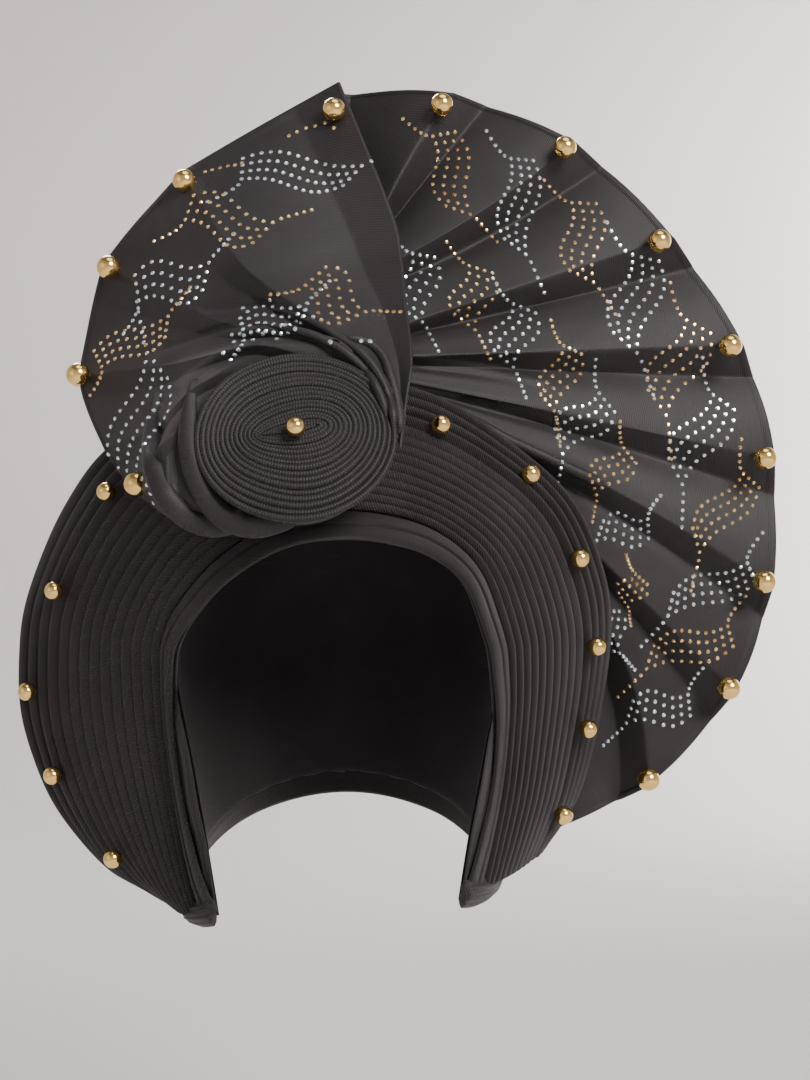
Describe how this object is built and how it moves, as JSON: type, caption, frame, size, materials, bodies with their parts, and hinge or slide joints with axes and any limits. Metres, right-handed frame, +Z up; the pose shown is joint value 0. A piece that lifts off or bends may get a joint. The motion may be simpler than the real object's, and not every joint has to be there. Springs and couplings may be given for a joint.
{
  "type": "tied gele head tie",
  "caption": "Stiff black head wrap tied into a pleated brim, two upright fans and a wound rosette over a plain cap, trimmed with gold beads.",
  "frame": {"origin": "middle of the head hollow at its widest level, where a head holds the wrap", "axes": "+Z up, -Y the way the face looks, +X towards the large fan"},
  "size_m": [0.333, 0.2184, 0.3616],
  "materials": {
    "wrap_cloth": "stiff ribbed satin",
    "cap_cloth": "plain matte weave",
    "gold_bead": "polished gold plate",
    "silver_stone": "foiled faceted stones",
    "gold_stone": "foiled faceted stones"
  },
  "bodies": {
    "root": {"crown_cap": "cap_cloth", "brow_band": "wrap_cloth", "nape_band": "wrap_cloth", "brim_left": "wrap_cloth", "brim_right": "wrap_cloth", "fan_large": "wrap_cloth", "fan_small": "wrap_cloth", "rosette": "wrap_cloth", "bead_fan_large_1": "gold_bead", "bead_fan_large_2": "gold_bead", "bead_fan_large_3": "gold_bead", "bead_fan_large_4": "gold_bead", "bead_fan_large_5": "gold_bead", "bead_fan_large_6": "gold_bead", "bead_fan_large_7": "gold_bead", "bead_fan_large_8": "gold_bead", "bead_fan_small_1": "gold_bead", "bead_fan_small_2": "gold_bead", "bead_fan_small_3": "gold_bead", "bead_fan_small_4": "gold_bead", "bead_fan_small_5": "gold_bead", "bead_brim_left_1": "gold_bead", "bead_brim_left_2": "gold_bead", "bead_brim_left_3": "gold_bead", "bead_brim_left_4": "gold_bead", "bead_brim_left_5": "gold_bead", "bead_brim_right_1": "gold_bead", "bead_brim_right_2": "gold_bead", "bead_brim_right_3": "gold_bead", "bead_brim_right_4": "gold_bead", "bead_brim_right_5": "gold_bead", "bead_brim_right_6": "gold_bead", "bead_rosette": "gold_bead"}
  },
  "joints": []
}
